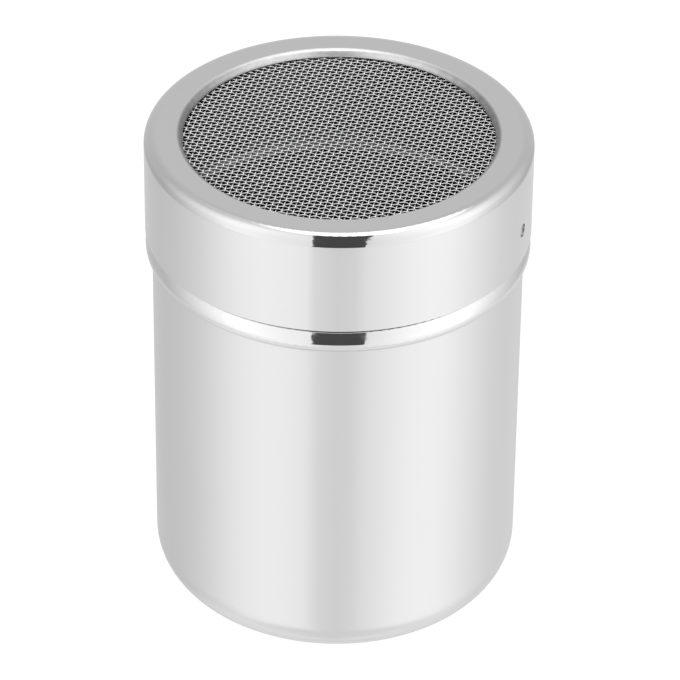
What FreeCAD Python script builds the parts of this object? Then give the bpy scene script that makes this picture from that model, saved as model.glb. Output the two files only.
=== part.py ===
import FreeCAD, Part
import math
import os
import Sketcher
from FreeCAD import Placement, Rotation, Vector

# A powder shaker: a drawn steel cup, and a lid that twists on over its neck and clamps a disc of
# woven wire cloth. Millimetres, +Z up, the origin at the centre of the face that it stands on.
# The wires run along X and Y. The lid is seated and not yet twisted: its two pressed dimples stand
# at the foot of the gaps between the two lugs of the neck.

DIMENSIONS = {
    # Cup: one drawn sheet with a base, a wall, a bead, a neck and a rolled rim
    "body_radius": 33.75,
    "cup_wall": 0.5,
    "foot_bend": 8.4,
    "stand_width": 4.0,
    "recess_rise": 0.8,
    "recess_run": 1.2,
    "recess_bend": 1.2,
    "bead_foot_height": 69.7,
    "bead_step": 1.2,
    "bead_under_rise": 0.81,
    "bead_side_rise": 3.8,
    "bead_top_rise": 0.67,
    "bead_foot_bend": 0.4,
    "bead_under_bend": 2.0,
    "bead_top_bend": 3.0,
    "neck_step": 2.6,
    "neck_bend": 0.8,
    "neck_rise": 16.62,
    "curl_inner_radius": 0.3,
    # Lugs pressed out of the neck, which the lid's dimples slide under as far as a stop
    "lug_face": 1.2,
    "lug_slope_rise": 2.6,
    "lug_round": 0.4,
    "lug_clearance": 0.35,
    "stop_width": 3.0,
    "stop_drop": 3.4,
    "twist_angle": 35.0,
    # Lid: one drawn sheet with a skirt, a top ring that dips a little towards the opening, and a
    # leaning lip turned down onto the cloth
    "lid_overhang": 1.25,
    "lid_wall": 0.5,
    "skirt_clearance": 0.35,
    "lid_corner": 2.1,
    "top_ring_width": 7.0,
    "ring_dip": 0.25,
    "lip_depth": 1.32,
    "lip_lean": 18.0,
    "lip_bend": 1.3,
    "edge_round_share": 0.3,
    "dimple_radius": 1.75,
    "dimple_lift": 6.7,
    "dimple_angle": -9.0,
    # Ring that holds the cloth against the lip, and stands on the rim of the cup
    "ring_wall": 0.5,
    "ring_leg": 3.0,
    "ring_corner": 1.5,
    "ring_clearance": 0.25,
    "seat_gap": 0.12,
    # Wire cloth: the weft runs along X and lies on the warp, which runs along Y
    "wire_diameter": 0.25,
    "wire_gap": 0.04,
    "weft_pitch": 0.957,
    "warp_pitch": 1.019,
    "cloth_margin": 1.5,
}

# How far a point may lie from its formula and still be the one that is meant
MATCH = 1e-5

doc = FreeCAD.newDocument("powder_shaker")
sheet = doc.addObject("Spreadsheet::Sheet", "sizes")
for row, (name, size) in enumerate(DIMENSIONS.items(), start=1):
    sheet.set(f"A{row}", name)
    sheet.set(f"B{row}", str(size))
    sheet.setAlias(f"B{row}", name)
doc.recompute()

# Radii and heights that several pieces share, as formulas on the sheet
NECK_RADIUS = "(sizes.body_radius - sizes.neck_step)"
NECK_INSIDE = f"({NECK_RADIUS} - sizes.cup_wall)"
CURL_RADIUS = "(sizes.curl_inner_radius + sizes.cup_wall)"
CURL_CENTRE = f"({NECK_RADIUS} + sizes.curl_inner_radius)"
BEAD_SIDE_FOOT = "(sizes.bead_foot_height + sizes.bead_under_rise)"
BEAD_SIDE_TOP = f"({BEAD_SIDE_FOOT} + sizes.bead_side_rise)"
NECK_FOOT = f"({BEAD_SIDE_TOP} + sizes.bead_top_rise)"
RIM_HEIGHT = f"({NECK_FOOT} + sizes.neck_rise)"
CURL_HEIGHT = f"({RIM_HEIGHT} - {CURL_RADIUS})"
RING_FOOT = f"({RIM_HEIGHT} + sizes.seat_gap)"
RING_TOP = f"({RING_FOOT} + sizes.ring_wall)"
WARP_HEIGHT = f"({RING_TOP} + sizes.wire_gap + sizes.wire_diameter / 2)"
WEFT_HEIGHT = f"({WARP_HEIGHT} + sizes.wire_gap + sizes.wire_diameter)"
LIP_END = f"({WEFT_HEIGHT} + sizes.wire_gap + sizes.wire_diameter / 2)"
LIP_TOP = f"({LIP_END} + sizes.lip_depth)"
LID_TOP = f"({LIP_TOP} + sizes.ring_dip)"
LID_FOOT = f"({BEAD_SIDE_TOP} + sizes.skirt_clearance)"
LID_RADIUS = "(sizes.body_radius + sizes.lid_overhang)"
LID_INSIDE = f"({LID_RADIUS} - sizes.lid_wall)"
OPENING_RADIUS = f"({LID_RADIUS} - sizes.top_ring_width)"
LIP_CORNER = f"({OPENING_RADIUS} + sizes.lip_depth * tan(sizes.lip_lean))"
LIP_OUTSIDE = f"({OPENING_RADIUS} + sizes.lid_wall / cos(sizes.lip_lean))"
CLOTH_RADIUS = f"({LID_INSIDE} - sizes.cloth_margin)"
DIMPLE_HEIGHT = f"({LID_FOOT} + sizes.dimple_lift)"
LUG_RADIUS = f"({LID_INSIDE} - sizes.lug_clearance)"
LUG_FOOT = f"({DIMPLE_HEIGHT} + sizes.dimple_radius + sizes.lug_clearance)"


def number(formula):
    """The present value of a formula: millimetres, or degrees."""
    return float(sheet.evalExpression(formula))


def new_body(name):
    body = doc.addObject("PartDesign::Body", name)
    body.Label = name
    return body


def half_plane(body, name, turn=None):
    """A sketch on the plane through the Z axis, with the radius as x and the height as y.

    turn is the plane's angle about Z, from +X."""
    sketch = body.newObject("Sketcher::SketchObject", name)
    plane = next(item for item in body.Origin.OriginFeatures if item.Role == "XZ_Plane")
    sketch.AttachmentSupport = [(plane, "")]
    sketch.MapMode = "FlatFace"
    if turn:
        sketch.AttachmentOffset = Placement(Vector(), Rotation(Vector(0, 1, 0), number(turn)))
        sketch.setExpression("AttachmentOffset.Rotation.Angle", turn)
    return sketch


def tie(sketch, constraint, formula):
    """Add a dimension to the sketch and bind it to the formula."""
    index = sketch.addConstraint(constraint)
    sketch.setExpression(f"Constraints[{index}]", formula)


def place(sketch, item, point, radius, height):
    """Hold a point of the sketch at a radius and a height; 0 puts it on the axis or the floor."""
    if radius == "0":
        sketch.addConstraint(Sketcher.Constraint("PointOnObject", item, point, -2))
    else:
        tie(sketch, Sketcher.Constraint("DistanceX", -1, 1, item, point, number(radius)), radius)
    if height == "0":
        sketch.addConstraint(Sketcher.Constraint("PointOnObject", item, point, -1))
    else:
        tie(sketch, Sketcher.Constraint("DistanceY", -1, 1, item, point, number(height)), height)


def outline(sketch, corners):
    """Draw a closed outline of straight runs through (radius, height) corners."""
    points = [Vector(number(radius), number(height), 0) for radius, height in corners]
    for start, end in zip(points, points[1:] + points[:1]):
        sketch.addGeometry(Part.LineSegment(start, end), False)
    for run in range(len(corners)):
        before = (run - 1) % len(corners)
        sketch.addConstraint(Sketcher.Constraint("Coincident", before, 2, run, 1))
    for run, (radius, height) in enumerate(corners):
        place(sketch, run, 1, radius, height)


def turned(body, kind, name, sketch, axis="V_Axis", sweep=None):
    """Revolve a sketch, anticlockwise from above: kind is Revolution or Groove."""
    feature = body.newObject(f"PartDesign::{kind}", name)
    feature.Profile = sketch
    feature.ReferenceAxis = (sketch, [axis])
    feature.Angle = 360
    if sweep:
        feature.setExpression("Angle", sweep)
    doc.recompute()
    return feature


def circles(shape, radius, height):
    """Names of the circular edges round the Z axis that have this radius and height."""
    found = []
    for index, edge in enumerate(shape.Edges, start=1):
        if not isinstance(edge.Curve, Part.Circle):
            continue
        curve = edge.Curve
        off_axis = math.hypot(curve.Center.x, curve.Center.y)
        misses = (curve.Radius - number(radius), curve.Center.z - number(height), off_axis)
        if max(abs(miss) for miss in misses) < MATCH:
            found.append(f"Edge{index}")
    return found


def bend(body, name, radius, corners):
    """Round the circular edges at (radius, height) corners of the body's last feature."""
    last = body.Tip
    edges = [edge for corner in corners for edge in circles(last.Shape, *corner)]
    feature = body.newObject("PartDesign::Fillet", name)
    feature.Base = (last, edges)
    feature.setExpression("Radius", radius)
    doc.recompute()
    return feature


def patterned(body, name, features):
    """Repeat features on the opposite side of the Z axis."""
    feature = body.newObject("PartDesign::PolarPattern", name)
    feature.Originals = features
    feature.Axis = (next(item for item in body.Origin.OriginFeatures if item.Role == "Z_Axis"), [""])
    feature.Angle = 360
    feature.Occurrences = 2
    body.Tip = feature
    doc.recompute()
    return feature


def drawn_cup(body):
    """The cup up to its neck: the outside is revolved and rounded, then shelled to the sheet."""
    stand_outer = "(sizes.body_radius - sizes.foot_bend)"
    stand_inner = f"({stand_outer} - sizes.stand_width)"
    recess_radius = f"({stand_inner} - sizes.recess_run)"
    bead_radius = "(sizes.body_radius + sizes.bead_step)"
    recess_corners = [(recess_radius, "sizes.recess_rise"), (stand_inner, "0")]
    foot = ("sizes.body_radius", "0")
    bead_foot = ("sizes.body_radius", "sizes.bead_foot_height")
    bead_under = (bead_radius, BEAD_SIDE_FOOT)
    bead_top = (bead_radius, BEAD_SIDE_TOP)
    neck = (NECK_RADIUS, NECK_FOOT)
    sketch = half_plane(body, "cup_outline")
    bead = [bead_foot, bead_under, bead_top]
    corners = [("0", "sizes.recess_rise"), *recess_corners, foot, *bead, neck]
    outline(sketch, corners + [(NECK_RADIUS, CURL_HEIGHT), ("0", CURL_HEIGHT)])
    turned(body, "Revolution", "cup_solid", sketch)
    bend(body, "recess_bends", "sizes.recess_bend", recess_corners)
    bend(body, "foot_bend", "sizes.foot_bend", [foot])
    bend(body, "bead_foot_bend", "sizes.bead_foot_bend", [bead_foot])
    bend(body, "bead_under_bend", "sizes.bead_under_bend", [bead_under])
    bend(body, "bead_top_bend", "sizes.bead_top_bend", [bead_top])
    bend(body, "neck_bend", "sizes.neck_bend", [neck])
    last = body.Tip
    mouth = max(range(len(last.Shape.Faces)), key=lambda face: last.Shape.Faces[face].CenterOfMass.z)
    shell = body.newObject("PartDesign::Thickness", "cup_sheet")
    shell.Base = (last, [f"Face{mouth + 1}"])
    shell.Join = "Intersection"
    shell.Reversed = True
    shell.setExpression("Value", "sizes.cup_wall")
    doc.recompute()


def rolled_rim(body):
    """The neck's end, rolled outwards through three quarters of a turn."""
    sketch = half_plane(body, "rim_outline")
    centre = Vector(number(CURL_CENTRE), number(CURL_HEIGHT), 0)
    outer, inner = number(CURL_RADIUS), number("sizes.curl_inner_radius")
    for radius in (outer, inner):
        circle = Part.Circle(centre, Vector(0, 0, 1), radius)
        sketch.addGeometry(Part.ArcOfCircle(circle, -math.pi / 2, math.pi), False)
    for across in (Vector(-1, 0, 0), Vector(0, -1, 0)):
        sketch.addGeometry(Part.LineSegment(centre + across * outer, centre + across * inner), False)
    sketch.addConstraint(
        [
            Sketcher.Constraint("Coincident", 0, 3, 1, 3),
            Sketcher.Constraint("Coincident", 2, 1, 0, 2),
            Sketcher.Constraint("Coincident", 2, 2, 1, 2),
            Sketcher.Constraint("Coincident", 3, 1, 0, 1),
            Sketcher.Constraint("Coincident", 3, 2, 1, 1),
            Sketcher.Constraint("Horizontal", 2),
            Sketcher.Constraint("Vertical", 3),
            Sketcher.Constraint("Horizontal", 0, 2, 0, 3),
            Sketcher.Constraint("Vertical", 0, 1, 0, 3),
        ]
    )
    place(sketch, 0, 3, CURL_CENTRE, CURL_HEIGHT)
    tie(sketch, Sketcher.Constraint("Radius", 0, outer), CURL_RADIUS)
    tie(sketch, Sketcher.Constraint("Radius", 1, inner), "sizes.curl_inner_radius")
    turned(body, "Revolution", "rolled_rim", sketch)


def turn_across(width):
    """The angle about Z, in degrees, that a width takes up at the crest of a lug."""
    return f"(asin(({width}) / {LUG_RADIUS}) / 1 deg)"


def pressed_lugs(body):
    """Two lugs pressed out of the neck, each a ramped hook with a stop turned down at its end."""
    root = f"({NECK_RADIUS} - sizes.cup_wall / 2)"
    crest = f"({LUG_RADIUS} - sizes.cup_wall)"
    lug_face_top = f"({LUG_FOOT} + sizes.lug_face)"
    lug_top = f"({lug_face_top} + sizes.lug_slope_rise)"
    hollow_foot = f"({LUG_FOOT} + sizes.cup_wall)"
    hollow_top = f"({lug_top} - sizes.cup_wall)"
    hollow_root = f"({NECK_INSIDE} - sizes.cup_wall)"
    stop_foot = f"({LUG_FOOT} - sizes.stop_drop)"
    entry = turn_across("sizes.dimple_radius + sizes.lug_clearance")
    stop = turn_across("sizes.stop_width")
    wall = turn_across("sizes.cup_wall")
    far_end = f"(sizes.dimple_angle - sizes.twist_angle - {entry} - {stop})"
    lug_sweep = f"(sizes.twist_angle + {stop})"
    inner_end = f"({far_end} + {wall})"

    lug = half_plane(body, "lug_outline", far_end)
    outline(lug, [(root, LUG_FOOT), (LUG_RADIUS, LUG_FOOT), (LUG_RADIUS, lug_face_top), (root, lug_top)])
    drop = half_plane(body, "stop_outline", far_end)
    stop_corners = [(root, stop_foot), (LUG_RADIUS, stop_foot)]
    outline(drop, stop_corners + [(LUG_RADIUS, lug_face_top), (root, lug_face_top)])
    outside = [
        turned(body, "Revolution", "lug", lug, sweep=lug_sweep),
        turned(body, "Revolution", "lug_stop", drop, sweep=stop),
    ]
    patterned(body, "lugs", outside)
    crest_edges = []
    last = body.Tip
    for index, edge in enumerate(last.Shape.Edges, start=1):
        radii = [math.hypot(vertex.X, vertex.Y) for vertex in edge.Vertexes]
        if min(radii) > number(LUG_RADIUS) - MATCH:
            crest_edges.append(f"Edge{index}")
    rounds = body.newObject("PartDesign::Fillet", "lug_rounds")
    rounds.Base = (last, crest_edges)
    rounds.setExpression("Radius", "sizes.lug_round")
    doc.recompute()

    hollow = half_plane(body, "lug_hollow_outline", inner_end)
    slope_corners = [(crest, lug_face_top), (hollow_root, hollow_top)]
    outline(hollow, [(hollow_root, hollow_foot), (crest, hollow_foot), *slope_corners])
    drop_hollow = half_plane(body, "stop_hollow_outline", inner_end)
    low = f"({stop_foot} + sizes.cup_wall)"
    corners = [(hollow_root, low), (crest, low), (crest, lug_face_top), (hollow_root, lug_face_top)]
    outline(drop_hollow, corners)
    inside = [
        turned(body, "Groove", "lug_hollow", hollow, sweep=f"({lug_sweep} - 2 * {wall})"),
        turned(body, "Groove", "stop_hollow", drop_hollow, sweep=f"({stop} - 2 * {wall})"),
    ]
    patterned(body, "lug_hollows", inside)


def make_cup():
    body = new_body("cup")
    drawn_cup(body)
    rolled_rim(body)
    pressed_lugs(body)
    return body


def make_lid_shell():
    """The lid's cap, with two dimples pressed into its skirt."""
    body = new_body("lid_shell")
    top_inside = f"({LID_TOP} - sizes.lid_wall)"
    lip_top_inside = f"({LIP_TOP} - sizes.lid_wall)"
    lip_slant = "(1 - sin(sizes.lip_lean)) / cos(sizes.lip_lean)"
    lip_corner_inside = f"({LIP_CORNER} + sizes.lid_wall * {lip_slant})"
    sketch = half_plane(body, "lid_outline")
    outline(
        sketch,
        [
            (LID_RADIUS, LID_FOOT),
            (LID_RADIUS, LID_TOP),
            (LIP_CORNER, LIP_TOP),
            (OPENING_RADIUS, LIP_END),
            (LIP_OUTSIDE, LIP_END),
            (lip_corner_inside, lip_top_inside),
            (LID_INSIDE, top_inside),
            (LID_INSIDE, LID_FOOT),
        ],
    )
    turned(body, "Revolution", "lid_sheet", sketch)
    bend(body, "lid_corner", "sizes.lid_corner", [(LID_RADIUS, LID_TOP)])
    bend(body, "lid_corner_inside", "sizes.lid_corner - sizes.lid_wall", [(LID_INSIDE, top_inside)])
    bend(body, "lip_bend", "sizes.lip_bend", [(LIP_CORNER, LIP_TOP)])
    inside_bend = "sizes.lip_bend - sizes.lid_wall"
    bend(body, "lip_bend_inside", inside_bend, [(lip_corner_inside, lip_top_inside)])
    skirt_edges = [(LID_RADIUS, LID_FOOT), (LID_INSIDE, LID_FOOT)]
    lip_edges = [(OPENING_RADIUS, LIP_END), (LIP_OUTSIDE, LIP_END)]
    bend(body, "edge_rounds", "sizes.edge_round_share * sizes.lid_wall", skirt_edges + lip_edges)

    bump = dome(body, "bump_outline", "sizes.dimple_radius", f"({LID_RADIUS} - sizes.lid_wall / 2)")
    raised = turned(body, "Revolution", "bump", bump, axis="Edge2")
    dent = dome(body, "dent_outline", "(sizes.dimple_radius - sizes.lid_wall)", LID_RADIUS)
    sunk = turned(body, "Groove", "dent", dent, axis="Edge2")
    patterned(body, "dimples", [raised, sunk])
    return body


def dome(body, name, radius, back):
    """The outline of a dome that points at the Z axis: centred on the skirt, cut off at its back."""
    sketch = half_plane(body, name, "sizes.dimple_angle")
    centre = Vector(number(LID_RADIUS), number(DIMPLE_HEIGHT), 0)
    size = number(radius)
    reach = number(back) - centre.x
    rise = math.sqrt(size**2 - reach**2)
    circle = Part.Circle(centre, Vector(0, 0, 1), size)
    tip = centre - Vector(size, 0, 0)
    heel = centre + Vector(reach, 0, 0)
    crown = heel + Vector(0, rise, 0)
    sketch.addGeometry(Part.ArcOfCircle(circle, math.atan2(rise, reach), math.pi), False)
    sketch.addGeometry(Part.LineSegment(tip, heel), False)
    sketch.addGeometry(Part.LineSegment(heel, crown), False)
    sketch.addConstraint(
        [
            Sketcher.Constraint("Coincident", 0, 2, 1, 1),
            Sketcher.Constraint("Coincident", 1, 2, 2, 1),
            Sketcher.Constraint("Coincident", 2, 2, 0, 1),
            Sketcher.Constraint("Horizontal", 1),
            Sketcher.Constraint("Vertical", 2),
            Sketcher.Constraint("Horizontal", 0, 2, 0, 3),
        ]
    )
    place(sketch, 0, 3, LID_RADIUS, DIMPLE_HEIGHT)
    tie(sketch, Sketcher.Constraint("Radius", 0, size), radius)
    tie(sketch, Sketcher.Constraint("DistanceX", -1, 1, 1, 2, number(back)), back)
    return sketch


def make_retaining_ring():
    """An angle ring: its flange backs the cloth, and its short leg stands inside the skirt."""
    body = new_body("mesh_retaining_ring")
    outer = f"({LID_INSIDE} - sizes.ring_clearance)"
    inner = f"({outer} - sizes.ring_wall)"
    leg_foot = f"({RING_TOP} - sizes.ring_leg)"
    sketch = half_plane(body, "ring_outline")
    corners = [(LIP_OUTSIDE, RING_FOOT), (LIP_OUTSIDE, RING_TOP), (outer, RING_TOP), (outer, leg_foot)]
    outline(sketch, corners + [(inner, leg_foot), (inner, RING_FOOT)])
    turned(body, "Revolution", "ring_sheet", sketch)
    bend(body, "ring_corner", "sizes.ring_corner", [(outer, RING_TOP)])
    bend(body, "ring_corner_inside", "sizes.ring_corner - sizes.ring_wall", [(inner, RING_FOOT)])
    return body


def make_wires(name, pitch, height, along):
    """One set of the cloth's wires: straight and parallel, each cut off at the cloth's edge."""
    cloth_radius = number(CLOTH_RADIUS)
    wire_radius = number("sizes.wire_diameter") / 2
    spacing = number(pitch)
    level = number(height)
    across = Vector(-along.y, along.x, 0)
    count = int((cloth_radius - wire_radius) / spacing)
    wires = []
    for index in range(-count, count + 1):
        offset = index * spacing
        half_length = math.sqrt(cloth_radius**2 - offset**2)
        start = across * offset - along * half_length + Vector(0, 0, level)
        wires.append(Part.makeCylinder(wire_radius, 2 * half_length, start, along))
    feature = doc.addObject("Part::Feature", name)
    feature.Label = name
    feature.Shape = Part.makeCompound(wires)
    feature.Placement = Placement()
    return feature


pieces = [
    make_cup(),
    make_lid_shell(),
    make_retaining_ring(),
    make_wires("mesh_warp_wires", "sizes.warp_pitch", WARP_HEIGHT, Vector(0, 1, 0)),
    make_wires("mesh_weft_wires", "sizes.weft_pitch", WEFT_HEIGHT, Vector(1, 0, 0)),
]
doc.recompute()

for item in doc.Objects:
    if "Invalid" in item.State or "Error" in item.State:
        raise RuntimeError(f"{item.Label} failed: {item.State}")
for piece in pieces:
    if piece.Shape.isNull() or not piece.Shape.isValid():
        raise RuntimeError(f"{piece.Label} has no valid shape")

os.makedirs("parts", exist_ok=True)
for piece in pieces:
    piece.Shape.exportStep(f"parts/{piece.Label}.step")
    box = piece.Shape.optimalBoundingBox()
    height = f"z {box.ZMin:.2f} to {box.ZMax:.2f}"
    print(f"{piece.Label}: {len(piece.Shape.Solids)} solids, {piece.Shape.Volume:.1f} mm3, {height}")
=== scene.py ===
import math

import bmesh
import bpy
from mathutils import Matrix, Vector

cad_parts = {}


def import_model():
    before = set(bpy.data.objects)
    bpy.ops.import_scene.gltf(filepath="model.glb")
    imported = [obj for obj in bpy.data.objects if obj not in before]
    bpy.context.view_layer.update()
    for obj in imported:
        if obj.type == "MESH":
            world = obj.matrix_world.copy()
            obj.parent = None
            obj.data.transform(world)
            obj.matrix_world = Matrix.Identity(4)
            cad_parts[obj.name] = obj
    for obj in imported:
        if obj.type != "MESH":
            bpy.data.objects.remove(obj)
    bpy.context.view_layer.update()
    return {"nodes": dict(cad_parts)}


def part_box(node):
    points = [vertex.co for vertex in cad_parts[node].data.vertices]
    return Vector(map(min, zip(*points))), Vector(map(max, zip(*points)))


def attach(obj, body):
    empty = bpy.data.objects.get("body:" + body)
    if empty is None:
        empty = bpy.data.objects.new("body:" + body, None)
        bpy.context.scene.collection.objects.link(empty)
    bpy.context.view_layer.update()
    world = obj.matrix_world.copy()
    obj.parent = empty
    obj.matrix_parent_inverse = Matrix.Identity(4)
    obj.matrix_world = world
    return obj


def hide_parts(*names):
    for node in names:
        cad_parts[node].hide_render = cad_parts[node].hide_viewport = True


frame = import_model()

MM = 0.001
WHITE = (1, 1, 1, 1)
# How far sideways a point lies is a share of its radius, which counts as at least this much
LEAST_RADIUS = 1 * MM

# The photograph's frame, in its own pixels
IMAGE_SIZE = 680
FOCAL_PIXELS = 4363.4
SENSOR_WIDTH = 36.0

# Camera: it looks at a point near the middle of the shaker from 34 degrees above the floor
VIEW_AZIMUTH = 11.0
VIEW_ELEVATION = 34.487
VIEW_ROLL = 0.658
VIEW_DISTANCE = 805.44 * MM
AIM_SIDE = 0.56 * MM
AIM_HEIGHT = 48.99 * MM
CLIP_START = 10 * MM

# Studio: what the polished steel reflects. Azimuths are measured from the camera's side, to its right,
# and elevations from the horizon, both in degrees. A pair of elevations is where a change starts and ends.
# The strengths and the card's edges were set after grey levels measured in the photograph.
DOME_RADIUS = 3.0
DOME_SEGMENTS = 64
DOME_RINGS = 32
BRIGHTEST = 1.5
# Soft boxes at the left and the right: azimuth and strength, at the horizon
BOX_STOPS = (
    (-180, 0.70), (-150, 0.64), (-128, 0.58), (-112, 0.57), (-98, 0.70), (-86, 0.86), (-74, 1.04),
    (-62, 1.24), (-50, 1.27), (-38, 1.18), (-26, 1.09), (-14, 1.04), (0, 0.92), (14, 0.92), (22, 1.00),
    (32, 1.10), (44, 1.22), (56, 1.33), (68, 1.36), (78, 1.27), (88, 1.06), (98, 0.89), (112, 0.73),
    (130, 0.60), (150, 0.63), (168, 0.68), (180, 0.70),
)
# They widen upwards: there an azimuth counts for this share of itself
BOX_WIDENS = (-5, 50)
BOX_AZIMUTH_SHARE = 0.86
# The pale table in front of them, as the upright walls see it
TABLE_STOPS = (
    (-180, 0.68), (-157, 0.67), (-145, 0.665), (-130, 0.67), (-110, 0.73), (-90, 0.84), (-75, 0.97),
    (-60, 1.08), (-45, 1.13), (-30, 1.11), (-18, 1.07), (-13, 0.90), (0, 0.82), (10, 0.85), (16, 0.95),
    (28, 1.03), (42, 1.13), (57, 1.17), (70, 1.15), (80, 1.08), (95, 0.97), (113, 0.84), (130, 0.79),
    (150, 0.77), (165, 0.73), (180, 0.68),
)
TABLE_ENDS = (-33, -22)
# The table straight below
TABLE_LOW = 0.82
TABLE_LOW_SIDES = 0.12
TABLE_LOW_ENDS = (-62, -44)
# The ceiling: its haze starts above the boxes, and a round lamp shines through it
CEILING = 0.98
CEILING_STARTS = (50, 82)
HAZE_STARTS = (35, 85)
HAZE_LOW = 0.55
LAMP_AZIMUTH = 150
LAMP_ELEVATION = 76
LAMP_EDGE = (24, 18)
LAMP_STRENGTH = 0.8
# The dark card, in millimetres: height above the floor, and how far it reaches to the left and the right
CARD_EDGES = (
    (-3, 42, 47), (150, 42, 48), (222, 45, 57), (354, 58, 73), (508, 75, 103), (750, 100, 148),
    (1000, 125, 190), (1300, 157, 240),
)
CARD_STRENGTH = 0.074
CARD_DISTANCE = 186 * MM
# Floor, room and the light above them
FLOOR_HALF = 4.0
FLOOR_PAINT = 0.1
FLOOR_GLOW = 0.94
ROOM_STRENGTH = 1.0
OVERHEAD_SIZE = 2.0
OVERHEAD_HEIGHT = 2.0
OVERHEAD_POWER = 12.0

# Steel: how much light each finish reflects, from 0 to 1. A pair is the least and the most, in patches.
CUP_GREY = 0.75
CUP_GREY_PATCHES = (-0.006, 0.006)
BEAD_GREY = 0.80
# Inside the cup the greys are painted shade: near black low down and at the neck, and lighter on the ledge
# in the bead as a painted highlight.
INSIDE_LOW_SHADE_GREY = 0.02
INSIDE_NECK_SHADE_GREY = 0.06
INSIDE_LEDGE_HIGHLIGHT_GREY = 0.30
LID_GREY = (0.745, 0.755)
DENT_GREY = 0.55
# The lip near the cloth: lighter at the back, painted shade at the left and the right, with blotches of
# random tone.
LIP_BACK_GREY = 0.92
LIP_SIDE_SHADE_GREY = 0.30
LIP_BLOTCHES = (-0.10, 0.10)
# How much painted shade darkens the corner's sides.
CORNER_SHADE = 0.09
RING_GREY = (0.68, 0.72)
WIRE_GREY = (0.79, 0.87)
# And how rough it is, from 0 for a mirror to 1
CUP_ROUGHNESS = (0.13, 0.17)
BEAD_ROUGHNESS = 0.06
INSIDE_ROUGHNESS = 0.35
LID_ROUGHNESS = (0.05, 0.07)
SATIN_ROUGHNESS = (0.30, 0.42)
RING_ROUGHNESS = (0.24, 0.36)
WIRE_ROUGHNESS = (0.10, 0.18)
ROUGHNESS_PATCHES = (-0.01, 0.01)

# Where the inside starts: walls that face the axis, and below a height the base, which faces up
INWARD_FACING = (-0.15, -0.4)
UPWARD_FACING = (0.4, 0.7)
BASE_ENDS = (62 * MM, 60 * MM)
# Where the finishes start and end on the cup, as heights
BEAD_STARTS = (69.4 * MM, 69.9 * MM)
BEAD_ENDS = (76 * MM, 75 * MM)
NECK_SPAN = (76 * MM, 90 * MM)
# And on the lid, as radii and heights
LIP_STARTS = (29.9 * MM, 28.9 * MM)
LIP_HEIGHT = (91 * MM, 92 * MM)
# Where the painted shade on the lip starts, towards the cloth.
LIP_SHADE_STARTS = (29.3 * MM, 28.55 * MM)
DENT_STARTS = (34.97 * MM, 34.85 * MM)
DENT_FOOT = (77 * MM, 78 * MM)
DENT_TOP = (85 * MM, 84 * MM)
CORNER_STARTS = (33.5 * MM, 34.0 * MM)
CORNER_FOOT = (91.9 * MM, 92.3 * MM)
CORNER_TOP = (93.5 * MM, 93.0 * MM)

# Wire cloth: the distance between neighbouring wires, and how finely each wire is drawn
WEFT_PITCH = 0.957 * MM
WARP_PITCH = 1.019 * MM
WIRE_SIDES = 8
WIRE_STEPS = 6
WIRE_LEAST_STEPS = 8


def camera_axes():
    """The camera's right, up and backward directions in the object's frame."""
    azimuth, elevation, roll = (math.radians(a) for a in (VIEW_AZIMUTH, VIEW_ELEVATION, VIEW_ROLL))
    side = Vector((math.cos(azimuth), math.sin(azimuth), 0))
    level_back = Vector((math.sin(azimuth), -math.cos(azimuth), 0))
    back = level_back * math.cos(elevation) + Vector((0, 0, math.sin(elevation)))
    lift = back.cross(side)
    right = side * math.cos(roll) + lift * math.sin(roll)
    up = lift * math.cos(roll) - side * math.sin(roll)
    return side, right, up, back


def add_object(name, data):
    made = bpy.data.objects.new(name, data)
    bpy.context.scene.collection.objects.link(made)
    return made


def add_camera():
    side, right, up, back = camera_axes()
    data = bpy.data.cameras.new("photo_camera")
    data.sensor_fit = "HORIZONTAL"
    data.sensor_width = SENSOR_WIDTH
    data.lens = FOCAL_PIXELS * SENSOR_WIDTH / IMAGE_SIZE
    data.clip_start = CLIP_START
    camera = add_object("photo_camera", data)
    place = side * AIM_SIDE + Vector((0, 0, AIM_HEIGHT)) + back * VIEW_DISTANCE
    camera.matrix_world = Matrix.Translation(place) @ Matrix((right, up, back)).transposed().to_4x4()
    bpy.context.scene.camera = camera


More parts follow.
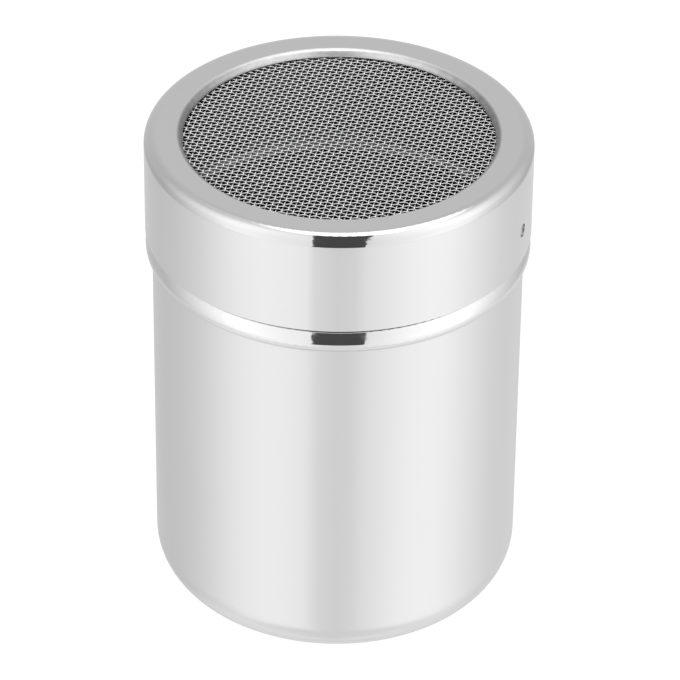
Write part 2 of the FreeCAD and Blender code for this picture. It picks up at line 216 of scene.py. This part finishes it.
class Shader:
    """A short way to write a node tree."""

    def __init__(self, tree):
        self.tree = tree
        self.tree.nodes.clear()

    def node(self, kind, inputs=None, **settings):
        made = self.tree.nodes.new("ShaderNode" + kind)
        for key, value in settings.items():
            setattr(made, key, value)
        for key, value in (inputs or {}).items():
            if isinstance(value, bpy.types.NodeSocket):
                self.tree.links.new(value, made.inputs[key])
            else:
                made.inputs[key].default_value = value
        return made

    def math(self, operation, *values):
        return self.node("Math", dict(enumerate(values)), operation=operation).outputs[0]

    def vector(self, operation, *values, output="Value"):
        return self.node("VectorMath", dict(enumerate(values)), operation=operation).outputs[output]

    def ramp(self, value, low, high, out_low=0.0, out_high=1.0):
        """A smooth step from out_low at low to out_high at high."""
        inputs = {"Value": value, "From Min": low, "From Max": high, "To Min": out_low, "To Max": out_high}
        return self.node("MapRange", inputs, interpolation_type="SMOOTHSTEP").outputs[0]

    def mix(self, share, first, second):
        inputs = {"Value": share, "To Min": first, "To Max": second}
        return self.node("MapRange", inputs).outputs[0]

    def both(self, first, *others):
        """The product of masks: 1 only where each of them is."""
        for other in others:
            first = self.math("MULTIPLY", first, other)
        return first

    def turned(self, point):
        """The point seen from the camera's side: x to the camera's right, y away from the camera."""
        inputs = {"Vector": point, "Angle": math.radians(-VIEW_AZIMUTH)}
        return self.node("VectorRotate", inputs, rotation_type="Z_AXIS").outputs[0]

    def noise(self, point, scale, detail=2.0):
        return self.node("TexNoise", {"Vector": point, "Scale": scale, "Detail": detail}).outputs[0]

    def grey(self, value):
        return self.node("CombineColor", {"Red": value, "Green": value, "Blue": value}).outputs[0]

    def glow(self, strength):
        return self.node("Emission", {"Color": WHITE, "Strength": strength}).outputs[0]

    def output(self, surface):
        made = self.tree.nodes.new("ShaderNodeOutputMaterial")
        self.tree.links.new(surface, made.inputs["Surface"])


def new_material(name):
    material = bpy.data.materials.new(name)
    material.use_nodes = True
    return material, Shader(material.node_tree)


def light_stops(s, turn, stops):
    """Light round the dome: turn runs from 0 to 1 through azimuths from -180 to 180."""
    made = s.node("ValToRGB", {"Fac": turn})
    ramp = made.color_ramp
    ramp.interpolation = "LINEAR"
    while len(ramp.elements) < len(stops):
        ramp.elements.new(0.5)
    for element, (azimuth, strength) in zip(ramp.elements, stops):
        element.position = (azimuth + 180) / 360
        element.color = [strength / BRIGHTEST] * 3 + [1]
    return s.math("MULTIPLY", s.node("RGBToBW", {0: made.outputs["Color"]}).outputs[0], BRIGHTEST)


def dome_light(s):
    """The strength of the dome's light at each of its points."""
    turned = s.turned(s.node("NewGeometry").outputs["Position"])
    x, y, z = s.node("SeparateXYZ", {0: turned}).outputs
    front = s.math("MULTIPLY", y, -1.0)
    azimuth = s.math("DIVIDE", s.math("ARCTAN2", x, front), math.radians(360))
    level = s.math("SQRT", s.math("ADD", s.math("MULTIPLY", x, x), s.math("MULTIPLY", y, y)))
    elevation = s.math("MULTIPLY", s.math("ARCTAN2", z, level), math.degrees(1))

    narrowed = s.math("MULTIPLY", azimuth, s.ramp(elevation, *BOX_WIDENS, 1.0, BOX_AZIMUTH_SHARE))
    boxes = light_stops(s, s.math("ADD", narrowed, 0.5), BOX_STOPS)
    table = light_stops(s, s.math("ADD", azimuth, 0.5), TABLE_STOPS)
    sideways = s.math("POWER", s.math("DIVIDE", x, s.math("MAXIMUM", level, LEAST_RADIUS)), 2.0)
    low = s.math("MULTIPLY_ADD", sideways, TABLE_LOW_SIDES, TABLE_LOW)
    lit = s.mix(s.ramp(elevation, *TABLE_LOW_ENDS), low, table)
    lit = s.mix(s.ramp(elevation, *TABLE_ENDS), lit, boxes)
    lit = s.mix(s.ramp(elevation, *CEILING_STARTS), lit, CEILING)
    lit = s.math("MAXIMUM", lit, s.ramp(elevation, *HAZE_STARTS, HAZE_LOW, CEILING))

    lamp_azimuth, lamp_elevation = math.radians(LAMP_AZIMUTH), math.radians(LAMP_ELEVATION)
    flat = math.cos(lamp_elevation)
    lamp = (flat * math.sin(lamp_azimuth), -flat * math.cos(lamp_azimuth), math.sin(lamp_elevation))
    toward = s.vector("NORMALIZE", turned, output="Vector")
    edge = [math.cos(math.radians(angle)) for angle in LAMP_EDGE]
    overhead = s.ramp(s.vector("DOT_PRODUCT", toward, lamp), *edge)
    return s.math("ADD", lit, s.math("MULTIPLY", overhead, LAMP_STRENGTH))


def studio_dome():
    """A large dome of soft light, seen only in reflections and by the light that falls on things."""
    mesh = bpy.data.meshes.new("studio_dome")
    shape = bmesh.new()
    bmesh.ops.create_uvsphere(shape, u_segments=DOME_SEGMENTS, v_segments=DOME_RINGS, radius=DOME_RADIUS)
    shape.to_mesh(mesh)
    shape.free()
    dome = add_object("studio_dome", mesh)
    material, s = new_material("studio_light")
    s.output(s.glow(dome_light(s)))
    mesh.materials.append(material)
    dome.visible_camera = False
    dome.visible_shadow = False


def dark_card():
    """A dark card in front of the shaker, wider towards its top: the gap between the soft boxes."""
    side, _, _, _ = camera_axes()
    front = Vector((side.y, -side.x, 0)) * CARD_DISTANCE
    left, right = [], []
    for height, to_left, to_right in CARD_EDGES:
        level = front + Vector((0, 0, height * MM))
        left.append(level - side * to_left * MM)
        right.append(level + side * to_right * MM)
    corners = left + right[::-1]
    mesh = bpy.data.meshes.new("dark_card")
    mesh.from_pydata(corners, [], [tuple(range(len(corners)))])
    card = add_object("dark_card", mesh)
    material, s = new_material("dark_card")
    s.output(s.glow(CARD_STRENGTH))
    mesh.materials.append(material)
    card.visible_camera = False
    card.visible_shadow = False
    card.visible_diffuse = False


def floor():
    """A white sweep that glows a little, so that it stays pale right up to the foot."""
    mesh = bpy.data.meshes.new("floor")
    corners = [(x * FLOOR_HALF, y * FLOOR_HALF, 0) for x, y in ((-1, -1), (1, -1), (1, 1), (-1, 1))]
    mesh.from_pydata(corners, [], [(0, 1, 2, 3)])
    plane = add_object("floor", mesh)
    material, s = new_material("pale_floor")
    paint = s.node("BsdfDiffuse", {"Color": (FLOOR_PAINT, FLOOR_PAINT, FLOOR_PAINT, 1)}).outputs[0]
    s.output(s.node("AddShader", {0: paint, 1: s.glow(FLOOR_GLOW)}).outputs[0])
    mesh.materials.append(material)
    plane.visible_glossy = False


def overhead_light():
    """A wide soft light that brightens the floor and isn't seen in the steel."""
    data = bpy.data.lights.new("overhead", "AREA")
    data.shape = "DISK"
    data.size = OVERHEAD_SIZE
    data.energy = OVERHEAD_POWER
    light = add_object("overhead", data)
    light.location = (0, 0, OVERHEAD_HEIGHT)
    light.visible_glossy = False
    light.visible_camera = False


def world():
    made = bpy.data.worlds.new("pale_room")
    bpy.context.scene.world = made
    made.use_nodes = True
    background = made.node_tree.nodes["Background"]
    background.inputs["Color"].default_value = WHITE
    background.inputs["Strength"].default_value = ROOM_STRENGTH


class Place:
    """Where a point lies on a turned part, in its shader: radius and height in metres."""

    def __init__(self, s):
        texture = s.node("TexCoord")
        self.point = texture.outputs["Object"]
        x, y, self.height = s.node("SeparateXYZ", {0: self.point}).outputs
        flat = s.node("CombineXYZ", {0: x, 1: y, 2: 0.0}).outputs[0]
        self.radius = s.vector("LENGTH", flat)
        normal = texture.outputs["Normal"]
        self.outward = s.vector("DOT_PRODUCT", normal, s.vector("NORMALIZE", flat, output="Vector"))
        self.upward = s.node("SeparateXYZ", {0: normal}).outputs[2]
        self.turn = s.math("ARCTAN2", y, x)


def ring_lines(s, place, lines_per_metre):
    """Fine lines that run round the part, as turning and polishing on a lathe leave them."""
    along = s.math("MULTIPLY", place.height, lines_per_metre)
    across = s.math("MULTIPLY", place.radius, lines_per_metre)
    point = s.node("CombineXYZ", {0: s.math("SINE", place.turn), 1: along, 2: across}).outputs[0]
    return s.noise(point, scale=1.0, detail=3.0)


def steel_shader(s, grey, roughness, relief, relief_depth, anisotropy=0.0):
    inputs = {"Base Color": s.grey(grey), "Metallic": 1.0, "Roughness": roughness}
    shader = s.node("BsdfPrincipled", inputs)
    if anisotropy:
        shader.inputs["Anisotropic"].default_value = anisotropy
        tangent = s.node("Tangent", direction_type="RADIAL", axis="Z")
        s.tree.links.new(tangent.outputs[0], shader.inputs["Tangent"])
    bump = s.node("Bump", {"Height": relief, "Distance": relief_depth, "Strength": 1.0})
    s.tree.links.new(bump.outputs[0], shader.inputs["Normal"])
    s.output(shader.outputs[0])


def cup_steel():
    """Satin outside, polished on the bead, and rough inside, with painted shade inside and a lighter painted
    highlight on the ledge in the bead.
    """
    material, s = new_material("satin_steel")
    place = Place(s)
    base = s.both(s.ramp(place.upward, *UPWARD_FACING), s.ramp(place.height, *BASE_ENDS))
    inside = s.math("MAXIMUM", s.ramp(place.outward, *INWARD_FACING), base)
    bead = s.both(s.ramp(place.height, *BEAD_STARTS), s.ramp(place.height, *BEAD_ENDS))
    lines = ring_lines(s, place, lines_per_metre=6000.0)
    cloud = s.noise(place.point, scale=60.0)

    # Painted shade inside the cup, lighter on the ledge in the bead as a painted highlight.
    painted_inside_light = s.ramp(place.height, *NECK_SPAN, INSIDE_LOW_SHADE_GREY, INSIDE_NECK_SHADE_GREY)
    painted_inside_light = s.mix(bead, painted_inside_light, INSIDE_LEDGE_HIGHLIGHT_GREY)
    bright = s.math("ADD", s.mix(bead, CUP_GREY, BEAD_GREY), s.mix(cloud, *CUP_GREY_PATCHES))
    grey = s.mix(inside, bright, painted_inside_light)
    satin = s.math("ADD", s.mix(lines, *CUP_ROUGHNESS), s.mix(cloud, *ROUGHNESS_PATCHES))
    rough = s.mix(inside, s.mix(bead, satin, BEAD_ROUGHNESS), INSIDE_ROUGHNESS)
    steel_shader(s, grey, rough, lines, relief_depth=0.0004 * MM, anisotropy=0.6)
    return material


def lid_steel():
    """Polished, with painted shade on the corner's sides, a satin dent in each dimple and a satin lip.

    Near the cloth the lip has painted shade, which is darkest at the left and the right seen from the
    camera's side, and it is lighter at the back."""
    material, s = new_material("polished_steel")
    place = Place(s)
    across = s.math("ABSOLUTE", s.node("SeparateXYZ", {0: s.turned(place.point)}).outputs[0])
    sideways = s.math("DIVIDE", across, s.math("MAXIMUM", place.radius, LEAST_RADIUS))
    lip = s.both(s.ramp(place.radius, *LIP_STARTS), s.ramp(place.height, *LIP_HEIGHT))
    # Where the lip near the cloth takes painted shade.
    shaded_lip = s.both(lip, s.ramp(place.radius, *LIP_SHADE_STARTS))
    dent_height = s.both(s.ramp(place.height, *DENT_TOP), s.ramp(place.height, *DENT_FOOT))
    dent = s.both(s.ramp(place.radius, *DENT_STARTS), dent_height)
    corner_height = s.both(s.ramp(place.height, *CORNER_FOOT), s.ramp(place.height, *CORNER_TOP))
    corner = s.both(corner_height, s.ramp(place.radius, *CORNER_STARTS))
    lines = ring_lines(s, place, lines_per_metre=5000.0)
    grain = s.noise(place.point, scale=2500.0, detail=3.0)
    cloud = s.noise(place.point, scale=45.0)
    blotch = s.mix(s.noise(place.point, scale=900.0), *LIP_BLOTCHES)

    # Painted shade on the corner's sides, which narrows its reflection there.
    corner_painted_shade = s.both(corner, s.math("MULTIPLY", sideways, CORNER_SHADE))
    grey = s.math("SUBTRACT", s.mix(cloud, *LID_GREY), corner_painted_shade)
    # Painted shade on the lip, darkest at the sides, with blotches of random tone.
    lip_shade_and_blotches = s.math("ADD", s.mix(sideways, LIP_BACK_GREY, LIP_SIDE_SHADE_GREY), blotch)
    grey = s.mix(dent, s.mix(shaded_lip, grey, lip_shade_and_blotches), DENT_GREY)
    polished = s.math("ADD", s.mix(lines, *LID_ROUGHNESS), s.mix(cloud, *ROUGHNESS_PATCHES))
    rough = s.mix(s.math("MAXIMUM", lip, dent), polished, s.mix(grain, *SATIN_ROUGHNESS))
    steel_shader(s, grey, rough, s.mix(lip, cloud, grain), relief_depth=0.003 * MM)
    return material


def ring_steel():
    """Plain sheet, as rolled."""
    material, s = new_material("plain_steel")
    place = Place(s)
    lines = ring_lines(s, place, lines_per_metre=4000.0)
    grey = s.mix(s.noise(place.point, scale=80.0), *RING_GREY)
    steel_shader(s, grey, s.mix(lines, *RING_ROUGHNESS), lines, relief_depth=0.002 * MM)
    return material


def wire_steel():
    """Drawn wire: bright, with a grain that shows only close to."""
    material, s = new_material("wire_steel")
    place = Place(s)
    grain = s.noise(place.point, scale=9000.0, detail=3.0)
    grey = s.mix(s.noise(place.point, scale=400.0), *WIRE_GREY)
    steel_shader(s, grey, s.mix(grain, *WIRE_ROUGHNESS), grain, relief_depth=0.002 * MM)
    return material


def wire_set(name, wires, along_x, crossing_pitch, height, radius, wave):
    """One mesh of wires. wires holds each wire's index, offset and half length."""
    verts, faces = [], []
    for index, offset, half in wires:
        count = max(WIRE_LEAST_STEPS, int(2 * half / crossing_pitch * WIRE_STEPS))
        first = len(verts)
        for ring in range(count + 1):
            t = -half + 2 * half * ring / count
            angle = math.pi * (t / crossing_pitch + index)
            rise = wave * math.cos(angle)
            tilt = math.atan(-wave * math.pi / crossing_pitch * math.sin(angle))
            for side in range(WIRE_SIDES):
                turn = 2 * math.pi * side / WIRE_SIDES
                lift = radius * math.sin(turn)
                u = t - lift * math.sin(tilt)
                v = offset + radius * math.cos(turn)
                w = height + rise + lift * math.cos(tilt)
                verts.append((u, v, w) if along_x else (v, u, w))
        for ring in range(count):
            for side in range(WIRE_SIDES):
                a = first + ring * WIRE_SIDES + side
                b = first + ring * WIRE_SIDES + (side + 1) % WIRE_SIDES
                quad = (a, b, b + WIRE_SIDES, a + WIRE_SIDES)
                faces.append(quad[::-1] if along_x else quad)
        start = tuple(first + side for side in range(WIRE_SIDES))
        end = tuple(first + count * WIRE_SIDES + side for side in range(WIRE_SIDES))
        faces.append(start if along_x else start[::-1])
        faces.append(end[::-1] if along_x else end)
    mesh = bpy.data.meshes.new(name)
    mesh.from_pydata(verts, [], faces)
    mesh.shade_smooth()
    return add_object(name, mesh)


def wire_cloth(material):
    """Plain weave, each wire passing over and under the next, in the space of the solids' wires."""
    warp_low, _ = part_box("mesh_warp_wires")
    weft_low, weft_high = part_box("mesh_weft_wires")
    cloth_radius = weft_high.x
    height = (warp_low.z + weft_high.z) / 2
    radius = (weft_high.z - weft_low.z) / 2
    for name, pitch, crossing_pitch, along_x, wave, node in (
        ("weft", WEFT_PITCH, WARP_PITCH, True, radius, "mesh_weft_wires"),
        ("warp", WARP_PITCH, WEFT_PITCH, False, -radius, "mesh_warp_wires"),
    ):
        count = int((cloth_radius - radius) / pitch)
        wires = []
        for index in range(-count, count + 1):
            offset = index * pitch
            wires.append((index, offset, math.sqrt(cloth_radius**2 - offset**2)))
        middle = len(wires) // 2
        for half_name, half in (("low", wires[:middle]), ("high", wires[middle:])):
            made = wire_set(f"{name}_wires_{half_name}", half, along_x, crossing_pitch, height, radius, wave)
            made.data.materials.append(material)
            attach(made, "lid_body")
            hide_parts(node)


def dress(node, material):
    """Give a CAD node its material."""
    slots = frame["nodes"][node].data.materials
    slots.clear()
    slots.append(material)


add_camera()
world()
floor()
studio_dome()
dark_card()
overhead_light()
dress("cup", cup_steel())
dress("lid_shell", lid_steel())
dress("mesh_retaining_ring", ring_steel())
wire_cloth(wire_steel())

scene = bpy.context.scene
scene.view_settings.view_transform = "Standard"
scene.cycles.max_bounces = 16
scene.cycles.glossy_bounces = 8
